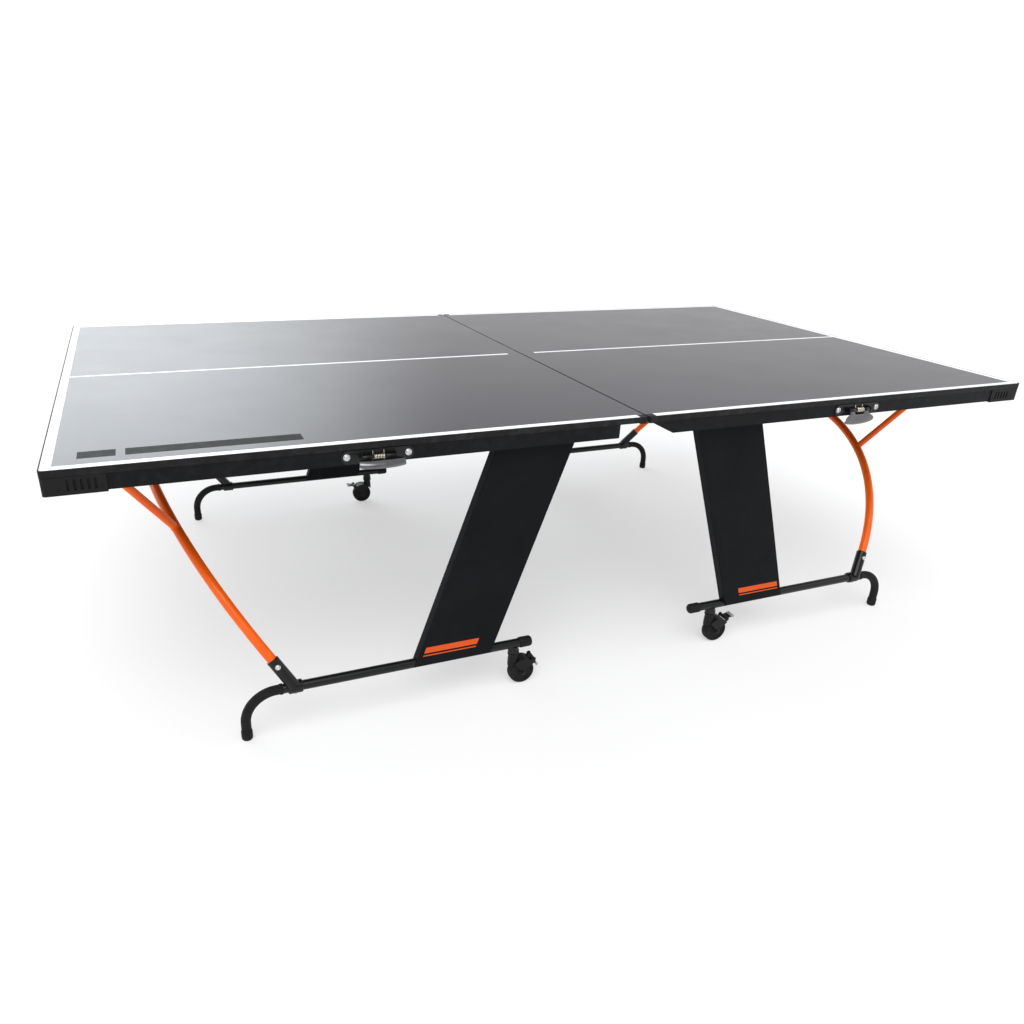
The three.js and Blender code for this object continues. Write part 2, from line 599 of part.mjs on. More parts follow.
for (const { half, turn, side, handle } of HALVES) {
  place(`tabletop_${half}`, tabletop(), 'board', turn);
  place(`apron_frame_${half}`, apronFrame(), 'apron', turn);
  place(`pivot_rod_${half}`, rod(
    [PIVOT.x, -RAIL_Y + RAIL_WIDTH - 1, PIVOT.z],
    [PIVOT.x, RAIL_Y - RAIL_WIDTH + 1, PIVOT.z], PIVOT_ROD_R, 20), 'zinc', turn);
  place(`support_arch_${half}`, supportArch(), 'orange', turn);
  for (const { key, flip, trail, pedal } of SIDES) {
    const where = `${half}_${side[key]}`;
    const put = (name, part, finish) => {
      place(`${name}_${where}`, flip ? mirrorY(part) : part, finish, turn);
    };
    const caster = (part) => part.rotate([0, 0, trail]).translate([STEM_X[key], -FOOT_Y, 0]);
    put('corner_guard', cornerGuard(), 'plastic');
    put('seam_cap', seamCap(), 'plastic');
    put('latch_bracket', latchBracket(), 'tube');
    put('latch_handle', latchHandle(handle), 'zinc');
    put('leg_panel', legPanel(), 'panel');
    put('foot_tube', footTube(STEM_X[key]), 'tube');
    put('tube_cap', tubeCap(), 'plastic');
    put('curved_foot', curvedFoot(), 'rubber');
    put('arch_socket', archSocket(), 'tube');
    put('strut_pad', strutPad(), 'rubber');
    put('caster_fork', caster(casterFork()), 'plastic');
    put('caster_wheel', caster(casterWheel()), 'rubber');
    put('brake_pedal', caster(brakePedal(pedal)), 'pedal');
  }
}

export default table;
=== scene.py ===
"""Looks of the folding ping pong table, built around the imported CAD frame.

Everything is in metres: +X along the table, +Y across it, +Z up, floor at 0.
Pieces are drawn for the (+X, +Y) quarter and mirrored into the others.
"""
import math

import bmesh
import bpy
from mathutils import Matrix, Vector

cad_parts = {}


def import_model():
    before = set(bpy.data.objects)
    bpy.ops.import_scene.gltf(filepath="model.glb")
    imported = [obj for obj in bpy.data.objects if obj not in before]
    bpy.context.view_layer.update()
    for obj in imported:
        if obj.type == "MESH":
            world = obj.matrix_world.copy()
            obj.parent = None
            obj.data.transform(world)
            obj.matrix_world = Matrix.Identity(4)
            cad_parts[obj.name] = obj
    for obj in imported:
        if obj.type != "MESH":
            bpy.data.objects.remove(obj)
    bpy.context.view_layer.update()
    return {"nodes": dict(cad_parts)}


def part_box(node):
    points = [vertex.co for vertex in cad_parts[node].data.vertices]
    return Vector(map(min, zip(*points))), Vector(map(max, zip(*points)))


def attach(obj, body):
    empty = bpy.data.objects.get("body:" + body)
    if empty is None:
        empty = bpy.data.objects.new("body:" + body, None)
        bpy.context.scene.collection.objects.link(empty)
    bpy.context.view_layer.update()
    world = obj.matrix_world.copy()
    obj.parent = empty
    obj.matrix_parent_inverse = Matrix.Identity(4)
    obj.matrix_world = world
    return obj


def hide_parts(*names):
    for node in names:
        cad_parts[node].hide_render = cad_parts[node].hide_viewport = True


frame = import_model()

HALVES = {"left": -1, "right": 1}
SIDES = {"near": -1, "far": 1}
QUARTERS = [(h, s) for h in HALVES for s in SIDES]

# ---- dimensions, in metres ---------------------------------------------------
TOP_LO, TOP_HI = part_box("tabletop_right")
BOARD_TOP = TOP_HI.z
BOARD_END = TOP_HI.x
BOARD_SIDE = TOP_HI.y
SEAM_X = TOP_LO.x
CAP_SIZE = 0.020
LINE_WIDTH = 0.020
CENTRE_LINE = 0.012
CENTRE_LINE_STOP = 0.048
LINE_INSET = 0.0028
LINE_THICK = 0.00018

TUBE_R = 0.0125
FOOT_Y = 0.7125
FOOT_Z = 0.127
TUBE_X0, TUBE_X1 = 0.268, 0.943
BEND_R = 0.080
FOOT_TIP_X = 1.038

ARCH_FOOT = Vector((0.960, 0.689, 0.201))
ARCH_LEAN = 0.665
ARCH_RISE = 0.417
ARCH_START = 0.379
ARCH_HANDLES = (0.301, 0.311)
SOCKET_LENGTH = 0.088
SOCKET_R = 0.0155
STRUT_R = 0.010
STRUT_FROM = Vector((1.1335, 0.4194, 0.4619))
STRUT_TO = Vector((1.311, 0.5425, 0.738))

STEM_X = {"a": 0.348, "b": 0.315}
QUARTER_KEY = {
    ("right", "near"): "a", ("right", "far"): "b",
    ("left", "near"): "b", ("left", "far"): "a",
}
WHEEL_R = 0.037
WHEEL_TRAIL = 0.025
PEDAL_R, PEDAL_ANGLE = 0.0485, 50.0
PEDAL_REST = {"a": 8.0, "b": -60.0}

LATCH_X, LATCH_Y, LATCH_Z = 0.703, 0.771, 0.728
HANDLE_REST = {"left": 0.0, "right": -74.0}
BRACKET_FACE_Y = 0.7625
BOLT_Z = 0.7285
BOLT_OFFSET = 0.0705
LEVER_THICK = 0.0024
LEVER_BOW = 0.0070
LEVER_SAG = 0.0022

PANEL_FACE_Y = 0.7281
PANEL_SLANT = 0.3526
PRINT_THICK = 0.00025
SINK = 0.0001
BEVEL_SEGMENTS = 2


# ---- materials -----------------------------------------------------------------
class Nodes:
    """Small helper for wiring a procedural material."""

    def __init__(self, name):
        self.mat = bpy.data.materials.new(name)
        self.mat.use_nodes = True
        self.tree = self.mat.node_tree
        self.tree.nodes.clear()
        self.out = self.add("ShaderNodeOutputMaterial")
        self.bsdf = self.add("ShaderNodeBsdfPrincipled")
        self.link(self.bsdf, "BSDF", self.out, "Surface")
        self.coords = self.add("ShaderNodeTexCoord")

    def add(self, kind, **values):
        node = self.tree.nodes.new(kind)
        for key, value in values.items():
            setattr(node, key, value)
        return node

    def link(self, a, a_out, b, b_in):
        self.tree.links.new(a.outputs[a_out], b.inputs[b_in])

    def scaled(self, scale):
        mapping = self.add("ShaderNodeMapping")
        mapping.inputs["Scale"].default_value = scale
        self.link(self.coords, "Object", mapping, "Vector")
        return mapping

    def noise(self, scale, detail=4.0, roughness=0.55, stretch=(1, 1, 1)):
        node = self.add("ShaderNodeTexNoise")
        node.inputs["Scale"].default_value = scale
        node.inputs["Detail"].default_value = detail
        node.inputs["Roughness"].default_value = roughness
        self.link(self.scaled(stretch), "Vector", node, "Vector")
        return node

    def ramp(self, source, out, stops):
        node = self.add("ShaderNodeValToRGB")
        ramp = node.color_ramp
        while len(ramp.elements) > 1:
            ramp.elements.remove(ramp.elements[-1])
        ramp.elements[0].position = stops[0][0]
        ramp.elements[0].color = (*stops[0][1], 1)
        for position, color in stops[1:]:
            ramp.elements.new(position).color = (*color, 1)
        self.link(source, out, node, "Fac")
        return node

    def span(self, source, out, low, high, from_low=0.3, from_high=0.7):
        node = self.add("ShaderNodeMapRange")
        node.inputs["From Min"].default_value = from_low
        node.inputs["From Max"].default_value = from_high
        node.inputs["To Min"].default_value = low
        node.inputs["To Max"].default_value = high
        self.link(source, out, node, "Value")
        return node

    def mix(self, fac_node, fac_out, a, b):
        node = self.add("ShaderNodeMix", data_type="RGBA")
        for socket, value in ((6, a), (7, b)):
            if isinstance(value, tuple):
                node.inputs[socket].default_value = (*value, 1)
            else:
                self.tree.links.new(value.outputs[0], node.inputs[socket])
        self.tree.links.new(fac_node.outputs[fac_out], node.inputs[0])
        return node

    def set(self, **values):
        names = {
            "rough": "Roughness", "metal": "Metallic", "specular": "Specular IOR Level",
            "coat": "Coat Weight", "coat_rough": "Coat Roughness", "sheen": "Sheen Weight",
        }
        for key, value in values.items():
            self.bsdf.inputs[names[key]].default_value = value

    def bump(self, heights, strength=0.4, distance=0.0005):
        previous = None
        for node, out, amount in heights:
            bump = self.add("ShaderNodeBump")
            bump.inputs["Strength"].default_value = strength * amount
            bump.inputs["Distance"].default_value = distance
            self.link(node, out, bump, "Height")
            if previous is not None:
                self.link(previous, "Normal", bump, "Normal")
            previous = bump
        self.link(previous, "Normal", self.bsdf, "Normal")


def edge_wear_and_highlight(n, low=0.52, high=0.62):
    """0 to 1 along convex edges, broken up by noise; marks worn edges and a painted edge highlight."""
    geometry = n.add("ShaderNodeNewGeometry")
    worn_and_lit_edges = n.span(geometry, "Pointiness", 0.0, 1.0, low, high)
    patchy = n.noise(38.0, 5.0, 0.7)
    factor = n.add("ShaderNodeMath", operation="MULTIPLY")
    n.tree.links.new(worn_and_lit_edges.outputs[0], factor.inputs[0])
    patches = n.span(patchy, "Fac", 0.0, 0.7, 0.45, 0.75)
    n.tree.links.new(patches.outputs[0], factor.inputs[1])
    return factor


def board_material():
    n = Nodes("charcoal_playing_surface")
    broad = n.noise(1.6, 3.0, 0.5)
    fine = n.noise(310.0, 1.0, 0.5, (1.0, 1.0, 0.913))
    smudge = n.noise(5.5, 5.0, 0.62)
    base = n.ramp(broad, "Fac", [
        (0.30, (0.029, 0.026, 0.032)), (0.52, (0.033, 0.028, 0.036)),
        (0.75, (0.028, 0.027, 0.034))])
    speck = n.ramp(fine, "Fac", [(0.35, (0.028, 0.026, 0.031)), (0.72, (0.036, 0.033, 0.039))])
    mixed = n.add("ShaderNodeMix", data_type="RGBA")
    mixed.inputs[0].default_value = 0.35
    n.tree.links.new(base.outputs[0], mixed.inputs[6])
    n.tree.links.new(speck.outputs[0], mixed.inputs[7])
    n.tree.links.new(mixed.outputs[2], n.bsdf.inputs["Base Color"])
    # Kept below 0.27: with peaks above it, the denoised board showed small marks.
    rough = n.span(smudge, "Fac", 0.235, 0.265)
    n.tree.links.new(rough.outputs[0], n.bsdf.inputs["Roughness"])
    n.set(specular=0.30, coat=0.05, coat_rough=0.22)
    n.bump([(fine, "Fac", 1.0)], 0.02, 0.0002)
    return n.mat


def line_material():
    n = Nodes("white_line_paint")
    fine = n.noise(700.0, 2.0, 0.5)
    broad = n.noise(14.0, 4.0, 0.6)
    tint = n.ramp(broad, "Fac", [(0.3, (0.80, 0.82, 0.83)), (0.7, (0.88, 0.89, 0.90))])
    n.tree.links.new(tint.outputs[0], n.bsdf.inputs["Base Color"])
    rough = n.span(broad, "Fac", 0.38, 0.48)
    n.tree.links.new(rough.outputs[0], n.bsdf.inputs["Roughness"])
    n.bump([(fine, "Fac", 1.0)], 0.15, 0.0002)
    return n.mat


def coat_material(name, dark, light, rough, grain, bump, rub_and_highlight_color=(0.10, 0.10, 0.11), coat=0.0,
                  metal=0.0, specular=0.5, rub_and_highlight_from=0.54):
    """Powder coat: orange-peel grain, faint colour drift, and lighter convex edges that are part wear,
    part painted highlight.
    """
    n = Nodes(name)
    peel = n.noise(grain, 3.0, 0.55)
    broad = n.noise(7.0, 5.0, 0.6)
    dust = n.noise(60.0, 6.0, 0.7)
    base = n.ramp(broad, "Fac", [(0.28, dark), (0.74, light)])
    worn_and_lit_edges = edge_wear_and_highlight(n, rub_and_highlight_from, rub_and_highlight_from + 0.12)
    # Convex edges take a lighter colour: part worn paint, part painted highlight.
    mixed = n.mix(worn_and_lit_edges, 0, base, rub_and_highlight_color)
    n.tree.links.new(mixed.outputs[2], n.bsdf.inputs["Base Color"])
    rough_node = n.span(dust, "Fac", rough[0], rough[1])
    n.tree.links.new(rough_node.outputs[0], n.bsdf.inputs["Roughness"])
    n.set(metal=metal, coat=coat, coat_rough=0.08, specular=specular)
    n.bump([(peel, "Fac", 1.0), (dust, "Fac", 0.3)], bump, 0.0003)
    return n.mat


def plastic_material(name, dark, light, rough=(0.5, 0.62), grain=1400.0, bump=0.35):
    n = Nodes(name)
    cells = n.add("ShaderNodeTexVoronoi")
    cells.inputs["Scale"].default_value = grain
    n.link(n.scaled((1, 1, 1)), "Vector", cells, "Vector")
    broad = n.noise(22.0, 5.0, 0.6)
    base = n.ramp(broad, "Fac", [(0.3, dark), (0.75, light)])
    worn_and_lit_edges = edge_wear_and_highlight(n, 0.56, 0.70)
    # Convex edges are lightened: part wear, part painted highlight.
    mixed = n.mix(worn_and_lit_edges, 0, base, tuple(min(1.0, c * 2.6 + 0.03) for c in light))
    n.tree.links.new(mixed.outputs[2], n.bsdf.inputs["Base Color"])
    rough_node = n.span(broad, "Fac", rough[0], rough[1])
    n.tree.links.new(rough_node.outputs[0], n.bsdf.inputs["Roughness"])
    n.set(specular=0.18)
    n.bump([(cells, "Distance", 1.0)], bump, 0.0002)
    return n.mat


def rubber_material(name, dark, light, rough=(0.72, 0.88)):
    n = Nodes(name)
    fine = n.noise(500.0, 4.0, 0.6)
    broad = n.noise(30.0, 6.0, 0.65)
    base = n.ramp(broad, "Fac", [
        (0.3, dark), (0.62, light), (0.85, tuple(c * 2.2 for c in light))])
    n.tree.links.new(base.outputs[0], n.bsdf.inputs["Base Color"])
    rough_node = n.span(broad, "Fac", rough[1], rough[0])
    n.tree.links.new(rough_node.outputs[0], n.bsdf.inputs["Roughness"])
    n.set(specular=0.22, sheen=0.02)
    n.bump([(fine, "Fac", 1.0)], 0.4, 0.0003)
    return n.mat


def metal_material(name, tint, rough, brushed=(1, 1, 1), grain=400.0, bump=0.1):
    n = Nodes(name)
    lines = n.noise(grain, 4.0, 0.6, brushed)
    stain = n.noise(45.0, 6.0, 0.65)
    base = n.ramp(stain, "Fac", [
        (0.3, tuple(c * 0.78 for c in tint)), (0.6, tint),
        (0.85, tuple(min(1, c * 1.1) for c in tint))])
    n.tree.links.new(base.outputs[0], n.bsdf.inputs["Base Color"])
    rough_node = n.span(stain, "Fac", rough[0], rough[1])
    n.tree.links.new(rough_node.outputs[0], n.bsdf.inputs["Roughness"])
    n.set(metal=1.0)
    n.bump([(lines, "Fac", 1.0)], bump, 0.0002)
    return n.mat


# The lighter edge colours passed to coat_material are part wear, part painted highlight.
MAT = {
    "board": board_material(),
    "line": line_material(),
    "apron": coat_material("black_powder_coat", (0.0034, 0.0036, 0.0040), (0.0056, 0.0060, 0.0066),
                           (0.36, 0.46), 800.0, 0.30, rub_and_highlight_color=(0.020, 0.020, 0.024), specular=0.11),
    "tube": coat_material("black_tube_coat", (0.0036, 0.0038, 0.0042), (0.0060, 0.0064, 0.0070),
                          (0.25, 0.34), 700.0, 0.30, coat=0.06, rub_and_highlight_color=(0.028, 0.028, 0.032),
                          specular=0.26),
    "panel": coat_material("panel_powder_coat", (0.0042, 0.0048, 0.0058), (0.0066, 0.0074, 0.0088),
                           (0.52, 0.64), 1000.0, 0.60, rub_and_highlight_color=(0.016, 0.016, 0.019), specular=0.07),
    "orange": coat_material("orange_powder_coat", (0.82, 0.092, 0.0008), (0.90, 0.135, 0.0014),
                            (0.26, 0.36), 620.0, 0.20, rub_and_highlight_color=(0.93, 0.24, 0.02), coat=0.08,
                            specular=0.22, rub_and_highlight_from=0.60),
    "plastic": plastic_material("black_moulded_plastic", (0.0050, 0.0050, 0.0056),
                                (0.0082, 0.0082, 0.0090)),
    "hood": plastic_material("caster_plastic", (0.0048, 0.0048, 0.0052), (0.0080, 0.0080, 0.0086),
                             (0.36, 0.48)),
    "pedal": plastic_material("grey_moulded_plastic", (0.24, 0.25, 0.26), (0.34, 0.35, 0.36)),
    "rubber": rubber_material("black_rubber", (0.0046, 0.0046, 0.0050), (0.0078, 0.0078, 0.0084)),
    "tread": rubber_material("wheel_tread_rubber", (0.0046, 0.0046, 0.0049), (0.0085, 0.0083, 0.0081)),
    "zinc": metal_material("zinc_plate", (0.66, 0.66, 0.67), (0.22, 0.38)),
    "chrome": metal_material("bright_lever_plate", (0.17, 0.17, 0.175), (0.14, 0.26),
                             (1, 0.05, 0.05), 300.0),
    "spring": metal_material("spring_steel", (0.70, 0.66, 0.56), (0.2, 0.34)),
    "decal": coat_material("orange_stripe_print", (0.62, 0.070, 0.004), (0.70, 0.088, 0.006),
                           (0.4, 0.5), 900.0, 0.1, rub_and_highlight_color=(0.70, 0.09, 0.01), specular=0.2),
    "print": coat_material("dark_gloss_print", (0.0040, 0.0040, 0.0044), (0.0062, 0.0062, 0.0068),
                           (0.46, 0.54), 900.0, 0.1, rub_and_highlight_color=(0.02, 0.02, 0.02), specular=0.08),
}


# ---- mesh helpers ----------------------------------------------------------------
def half_turn(half):
    """The left half is the right one turned half a circle about the vertical."""
    return Matrix.Rotation(math.pi, 4, "Z") if half == "left" else Matrix.Identity(4)


def quarter(half, side):
    return Matrix.Diagonal((HALVES[half], SIDES[side], 1, 1))


def round_edges(obj, width, angle):
    """Bevel the edges sharper than angle; returns the modifier."""
    modifier = obj.modifiers.new("edge_round", "BEVEL")
    modifier.width = width
    modifier.segments = BEVEL_SEGMENTS
    modifier.limit_method = "ANGLE"
    modifier.angle_limit = math.radians(angle)
    return modifier


def finish_mesh(name, bm, material, body, place=None, angle=35.0, bevel=0.0, subdiv=0,
                replaced=()):
    """Turn a bmesh into a smooth, named object that rides on its body."""
    if place is not None:
        bm.transform(place)
    bmesh.ops.recalc_face_normals(bm, faces=bm.faces)
    mesh = bpy.data.meshes.new(name)
    bm.to_mesh(mesh)
    bm.free()
    mesh.materials.append(MAT[material])
    obj = bpy.data.objects.new(name, mesh)
    bpy.context.scene.collection.objects.link(obj)
    for polygon in mesh.polygons:
        polygon.use_smooth = True
    mesh.set_sharp_from_angle(angle=math.radians(angle))
    if bevel:
        round_edges(obj, bevel, angle).harden_normals = True
    if subdiv:
        modifier = obj.modifiers.new("smooth_form", "SUBSURF")
        modifier.levels = modifier.render_levels = subdiv
    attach(obj, body)
    if replaced:
        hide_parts(*replaced)
    return obj


def ring_stack(bm, rings, closed=False):
    """Bridge rings of points into a capped tube; a closed stack joins last to first."""
    rows = [[bm.verts.new(p) for p in ring] for ring in rings]
    count = len(rows[0])
    pairs = list(zip(rows, rows[1:]))
    if closed:
        pairs.append((rows[-1], rows[0]))
    for low, high in pairs:
        for i in range(count):
            j = (i + 1) % count
            bm.faces.new((low[i], low[j], high[j], high[i]))
    if not closed:
        bm.faces.new(list(reversed(rows[0])))
        bm.faces.new(rows[-1])


def axis_frame(direction):
    w = Vector(direction).normalized()
    helper = Vector((0, 0, 1)) if abs(w.z) < 0.9 else Vector((1, 0, 0))
    u = helper.cross(w).normalized()
    return u, w.cross(u), w


def lathe(bm, profile, origin, direction, sides=40, closed=False):
    """Revolve (radius, height) pairs about an axis; closed joins the profile's ends."""
    origin = Vector(origin)
    u, v, w = axis_frame(direction)
    rings = []
    for radius, height in profile:
        radius = max(radius, 1e-5)
        rings.append([
            origin + w * height
            + (u * math.cos(2 * math.pi * i / sides) + v * math.sin(2 * math.pi * i / sides)) * radius
            for i in range(sides)])
    ring_stack(bm, rings, closed)


def sweep(bm, points, radius, sides=32, closed=False):
    """Round tube along points with parallel transported rings; radius may be a list."""
    points = [Vector(p) for p in points]
    count = len(points)
    radii = radius if isinstance(radius, (list, tuple)) else [radius] * count
    tangents = []
    for i in range(count):
        before = points[i - 1] if (i or closed) else points[0]
        after = points[(i + 1) % count] if (i < count - 1 or closed) else points[-1]
        tangents.append((after - before).normalized())
    u, v, _ = axis_frame(tangents[0])
    rings = []
    for i in range(count):
        if i:
            turn = tangents[i - 1].rotation_difference(tangents[i])
            u, v = turn @ u, turn @ v
        rings.append([
            points[i] + (u * math.cos(2 * math.pi * k / sides)
                         + v * math.sin(2 * math.pi * k / sides)) * radii[i]
            for k in range(sides)])
    ring_stack(bm, rings, closed)


def prism(bm, outline, place, depth):
    """Extrude a 2-D outline by depth along its own z, after placing it with a matrix."""
    low = [bm.verts.new(place @ Vector((x, y, 0))) for x, y in outline]
    high = [bm.verts.new(place @ Vector((x, y, depth))) for x, y in outline]
    count = len(outline)
    bm.faces.new(list(reversed(low)))
    bm.faces.new(high)
    for i in range(count):
        j = (i + 1) % count
        bm.faces.new((low[i], low[j], high[j], high[i]))


def basis(origin, x_axis, y_axis):
    x = Vector(x_axis).normalized()
    y = Vector(y_axis).normalized()
    z = x.cross(y)
    m = Matrix((x, y, z)).transposed().to_4x4()
    m.translation = Vector(origin)
    return m


def arc(cx, cy, r, start, end, count):
    return [
        (cx + r * math.cos(math.radians(start + (end - start) * i / count)),
         cy + r * math.sin(math.radians(start + (end - start) * i / count)))
        for i in range(count + 1)]


def solid_from(parts, cutters=()):
    """Union the parts and cut the cutters away; returns one bmesh."""
    made = []

    def temporary(build):
        bm = bmesh.new()
        build(bm)
        bmesh.ops.recalc_face_normals(bm, faces=bm.faces)
        mesh = bpy.data.meshes.new("tmp_form")
        bm.to_mesh(mesh)
        bm.free()
        obj = bpy.data.objects.new("tmp_form", mesh)
        bpy.context.scene.collection.objects.link(obj)
        made.append(obj)
        return obj

    whole = temporary(parts[0])
    steps = [("UNION", b) for b in parts[1:]]
    steps += [("DIFFERENCE", b) for b in cutters]
    for operation, build in steps:
        modifier = whole.modifiers.new("join", "BOOLEAN")
        modifier.operation = operation
        modifier.solver = "EXACT"
        modifier.object = temporary(build)
    depsgraph = bpy.context.evaluated_depsgraph_get()
    mesh = bpy.data.meshes.new_from_object(whole.evaluated_get(depsgraph))
    bm = bmesh.new()
    bm.from_mesh(mesh)
    bmesh.ops.remove_doubles(bm, verts=bm.verts, dist=1e-6)
    for obj in made:
        bpy.data.objects.remove(obj)
    bpy.data.meshes.remove(mesh)
    return bm


# ---- CAD nodes that keep their own shape --------------------------------------------
def dress(node, material, bevel=0.0):
    obj = frame["nodes"][node]
    obj.data.materials.clear()
    obj.data.materials.append(MAT[material])
    if bevel:
        round_edges(obj, bevel, 30.0)


for half in HALVES:
    dress(f"tabletop_{half}", "board")
    dress(f"apron_frame_{half}", "apron", 0.0006)
    dress(f"pivot_rod_{half}", "zinc")
for half, side in QUARTERS:
    where = f"{half}_{side}"
    dress(f"corner_guard_{where}", "plastic", 0.0005)
    dress(f"seam_cap_{where}", "plastic", 0.0004)
    dress(f"latch_bracket_{where}", "tube", 0.0005)
    dress(f"leg_panel_{where}", "panel", 0.0006)
    dress(f"strut_pad_{where}", "rubber", 0.0006)


# ---- painted lines on the playing surface --------------------------------------------
def paint(bm, outline):
    """A thin layer on the playing surface, sunk a little into it."""
    prism(bm, outline, Matrix.Translation((0, 0, BOARD_TOP - SINK)), LINE_THICK + SINK)


def strip(bm, x0, x1, y0, y1):
    paint(bm, [(x0, y0), (x1, y0), (x1, y1), (x0, y1)])


def playing_lines(half):
    side_in = BOARD_SIDE - LINE_INSET - LINE_WIDTH
    side_out = BOARD_SIDE - LINE_INSET
    end_out = BOARD_END - LINE_INSET
    end_in = end_out - LINE_WIDTH
    start = SEAM_X + CAP_SIZE + 0.0015
    corner = 0.0075
    bm = bmesh.new()
    outline = [(start, -side_in), (start, -side_out)]
    outline += arc(end_out - corner, -side_out + corner, corner, -90, 0, 6)
    outline += arc(end_out - corner, side_out - corner, corner, 0, 90, 6)
    outline += [(start, side_out), (start, side_in), (end_in, side_in), (end_in, -side_in)]
    paint(bm, outline)
    strip(bm, CENTRE_LINE_STOP, end_in - 0.0004, -CENTRE_LINE / 2, CENTRE_LINE / 2)
    finish_mesh(f"white_lines_{half}", bm, "line", f"top_{half}",
                half_turn(half))


def edge_band(half):
    """Thin black banding on the three free edges of the board, lapped onto its top."""
    t, lap, drop = 0.00025, 0.0026, BOARD_TOP - 0.0146
    corner = 0.0080
    inner = corner - lap
    start = SEAM_X + CAP_SIZE + 0.0012
    x1, y1 = BOARD_END, BOARD_SIDE

    def rail(grow, r):
        points = [(start, -y1 - grow)]
        points += arc(x1 - corner, -y1 + corner, r, -90, 0, 8)
        points += arc(x1 - corner, y1 - corner, r, 0, 90, 8)
        return points + [(start, y1 + grow)]

    section = [
        (t, corner + t, drop), (t, corner + t, BOARD_TOP - 0.0006), (0.0, corner, BOARD_TOP + t),
        (-lap, inner, BOARD_TOP + t), (-lap, inner, BOARD_TOP - 0.0010),
        (-0.0010, corner - 0.0010, BOARD_TOP - 0.0016), (-0.0010, corner - 0.0010, drop)]
    bm = bmesh.new()
    rows = [[(x, y, z) for x, y in rail(grow, r)] for grow, r, z in section]
    ring_stack(bm, [[Vector(row[i]) for row in rows] for i in range(len(rows[0]))])
    finish_mesh(f"edge_banding_{half}", bm, "plastic", f"top_{half}",
                half_turn(half), angle=30)


def plain_print():
    """Two plain dark bars where the left half carries its print."""
    bm = bmesh.new()
    for x0, x1 in ((-1.304, -1.232), (-1.214, -0.853)):
        strip(bm, x0, x1, -0.704, -0.662)
    finish_mesh("plain_bars_left", bm, "print", "top_left")


for half in HALVES:
    playing_lines(half)
    edge_band(half)
plain_print()


# ---- foot tubes, caps, curved feet ------------------------------------------------------
def foot_tube(half, side):
    place = quarter(half, side)
    where = f"{half}_{side}"
    stem = STEM_X[QUARTER_KEY[half, side]]
    bm = solid_from(
        [lambda b: lathe(b, [(TUBE_R, 0), (TUBE_R, TUBE_X1 - TUBE_X0)],
                         (TUBE_X0, FOOT_Y, FOOT_Z), (1, 0, 0), 44),
         lambda b: lathe(b, [(0.0150, 0), (0.0156, 0.0012), (0.0156, 0.0060), (0.0140, 0.0085),
                             (0.0138, 0.0190)], (stem, FOOT_Y, 0.1020), (0, 0, 1), 40)])
    finish_mesh(f"foot_rail_{where}", bm, "tube", f"base_{half}", place,
                angle=28, replaced=[f"foot_tube_{where}"])


def tube_cap(half, side):
    where = f"{half}_{side}"
    profile = [
        (0.0, -0.0012), (0.0075, -0.0008), (0.0118, 0.0006), (0.0139, 0.0030), (0.0148, 0.0062),
        (0.0148, 0.0268), (0.0151, 0.0276), (0.0151, 0.0300), (0.0148, 0.0308), (0.0147, 0.0348),
        (0.0140, 0.0360), (0.0129, 0.0362), (0.0128, 0.0300)]
    bm = bmesh.new()
    lathe(bm, profile, (TUBE_X0 - 0.004, FOOT_Y, FOOT_Z), (1, 0, 0), 40)
    finish_mesh(f"end_cap_{where}", bm, "plastic", f"base_{half}",
                quarter(half, side), angle=40, replaced=[f"tube_cap_{where}"])


def curved_foot(half, side):
    where = f"{half}_{side}"
    bend_x = FOOT_TIP_X - BEND_R
    bend_z = FOOT_Z - BEND_R
    path = [(TUBE_X1 + 0.0003, 0.0135), (TUBE_X1 + 0.0008, 0.0141), (TUBE_X1 + 0.0062, 0.0141),
            (TUBE_X1 + 0.0074, 0.0136), (TUBE_X1 + 0.0090, TUBE_R)]
    points = [Vector((x, FOOT_Y, FOOT_Z)) for x, _ in path]
    radii = [r for _, r in path]
    for x, z in arc(bend_x, bend_z, BEND_R, 90, 0, 22)[1:]:
        points.append(Vector((x, FOOT_Y, z)))
        radii.append(TUBE_R)
    for z, r in ((0.0262, TUBE_R), (0.0254, 0.0130), (0.0244, 0.0139), (0.0225, 0.0141),
                 (0.0120, 0.0141), (0.0060, 0.0140), (0.0032, 0.0134), (0.0012, 0.0120),
                 (0.0002, 0.0104), (0.0, 0.0060)):
        points.append(Vector((FOOT_TIP_X, FOOT_Y, z)))
        radii.append(r)
    bm = bmesh.new()
    sweep(bm, points, radii, 40)
    finish_mesh(f"foot_elbow_{where}", bm, "rubber", f"base_{half}",
                quarter(half, side), angle=50, replaced=[f"curved_foot_{where}"])


# ---- the orange arch and its sockets ------------------------------------------------------
LEAN = math.hypot(ARCH_LEAN, 1)


def on_arch(y, s):
    rise = s / LEAN
    return Vector((ARCH_FOOT.x + ARCH_LEAN * rise, y, ARCH_FOOT.z + rise))


def along_socket(distance):
    """Point on the +Y socket's axis, counted up from where the arch leaves it."""
    return on_arch(ARCH_FOOT.y - distance * math.sin(ARCH_START), distance * math.cos(ARCH_START))


def bezier(p, count):
    points = []
    for i in range(count + 1):
        t = i / count
        points.append(p[0] * (1 - t) ** 3 + p[1] * 3 * (1 - t) ** 2 * t
                      + p[2] * 3 * (1 - t) * t ** 2 + p[3] * t ** 3)
    return points


def arch_path():
    foot, crest = ARCH_HANDLES
    half_arch = bezier([
        on_arch(ARCH_FOOT.y, 0), along_socket(foot), on_arch(crest, ARCH_RISE),
        on_arch(0, ARCH_RISE)], 46)
    side = [along_socket(-0.050), along_socket(-0.010)] + half_arch
    return side + [Vector((p.x, -p.y, p.z)) for p in reversed(side[:-1])]


ARCH = arch_path()


def arch_distance(p):
    return min(
        (p - (a + (b - a) * max(0.0, min(1.0, (p - a).dot(b - a) / (b - a).length_squared)))).length
        for a, b in zip(ARCH, ARCH[1:]))


